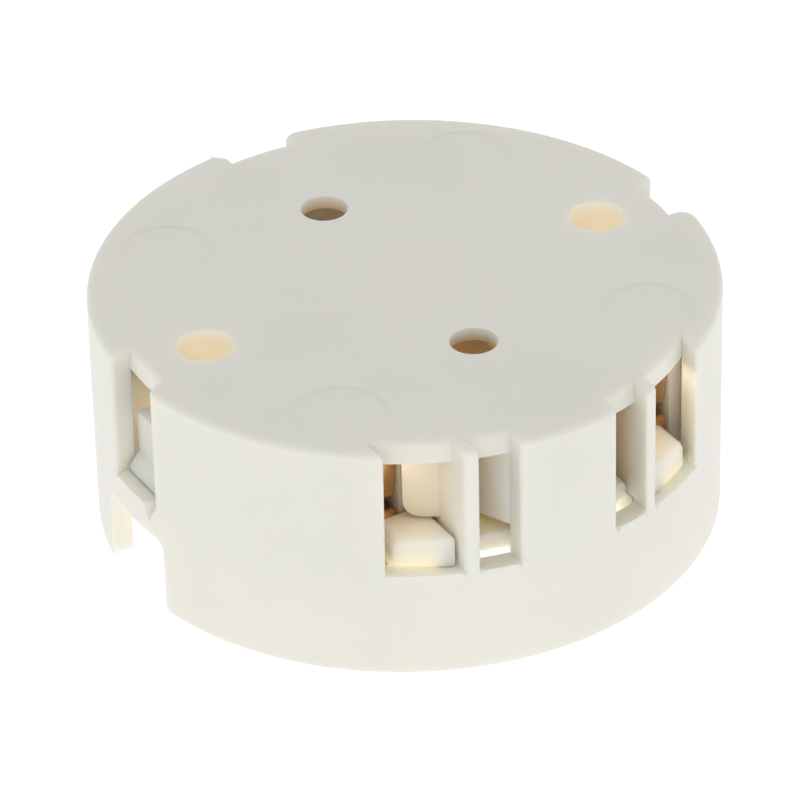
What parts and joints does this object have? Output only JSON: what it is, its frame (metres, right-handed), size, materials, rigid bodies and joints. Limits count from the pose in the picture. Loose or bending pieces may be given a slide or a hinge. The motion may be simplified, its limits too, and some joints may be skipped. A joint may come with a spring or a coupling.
{
  "type": "plug-in lampholder for a compact fluorescent lamp",
  "caption": "Round cream plastic lampholder with a flat screw-on back, push-in wire windows in its skirt and a pin socket for a compact fluorescent lamp on its open side.",
  "frame": {"origin": "centre of the rim that the holder stands on, on the axis of the round body", "axes": "+Z along the axis of the round body, out of the flat mounting back; the wires go in from -Y and the screw posts stand along X"},
  "size_m": [0.056, 0.056, 0.0225],
  "materials": {
    "housing_plastic": "satin moulded plastic, cream white, slightly translucent",
    "carrier_plastic": "satin moulded plastic, cream white, slightly translucent",
    "contact_bronze": "rolled bronze strip",
    "clamp_bronze": "rolled spring bronze strip",
    "spring_steel": "rolled spring steel strip"
  },
  "bodies": {
    "root": {"housing": "housing_plastic", "contact_carrier": "carrier_plastic", "contact_inner_left": "contact_bronze", "contact_inner_right": "contact_bronze", "contact_outer_left": "contact_bronze", "contact_outer_right": "contact_bronze", "clamp_inner_left": "clamp_bronze", "clamp_inner_right": "clamp_bronze", "clamp_outer_left": "clamp_bronze", "clamp_outer_right": "clamp_bronze", "lamp_spring_left": "spring_steel", "lamp_spring_right": "spring_steel"}
  },
  "joints": []
}
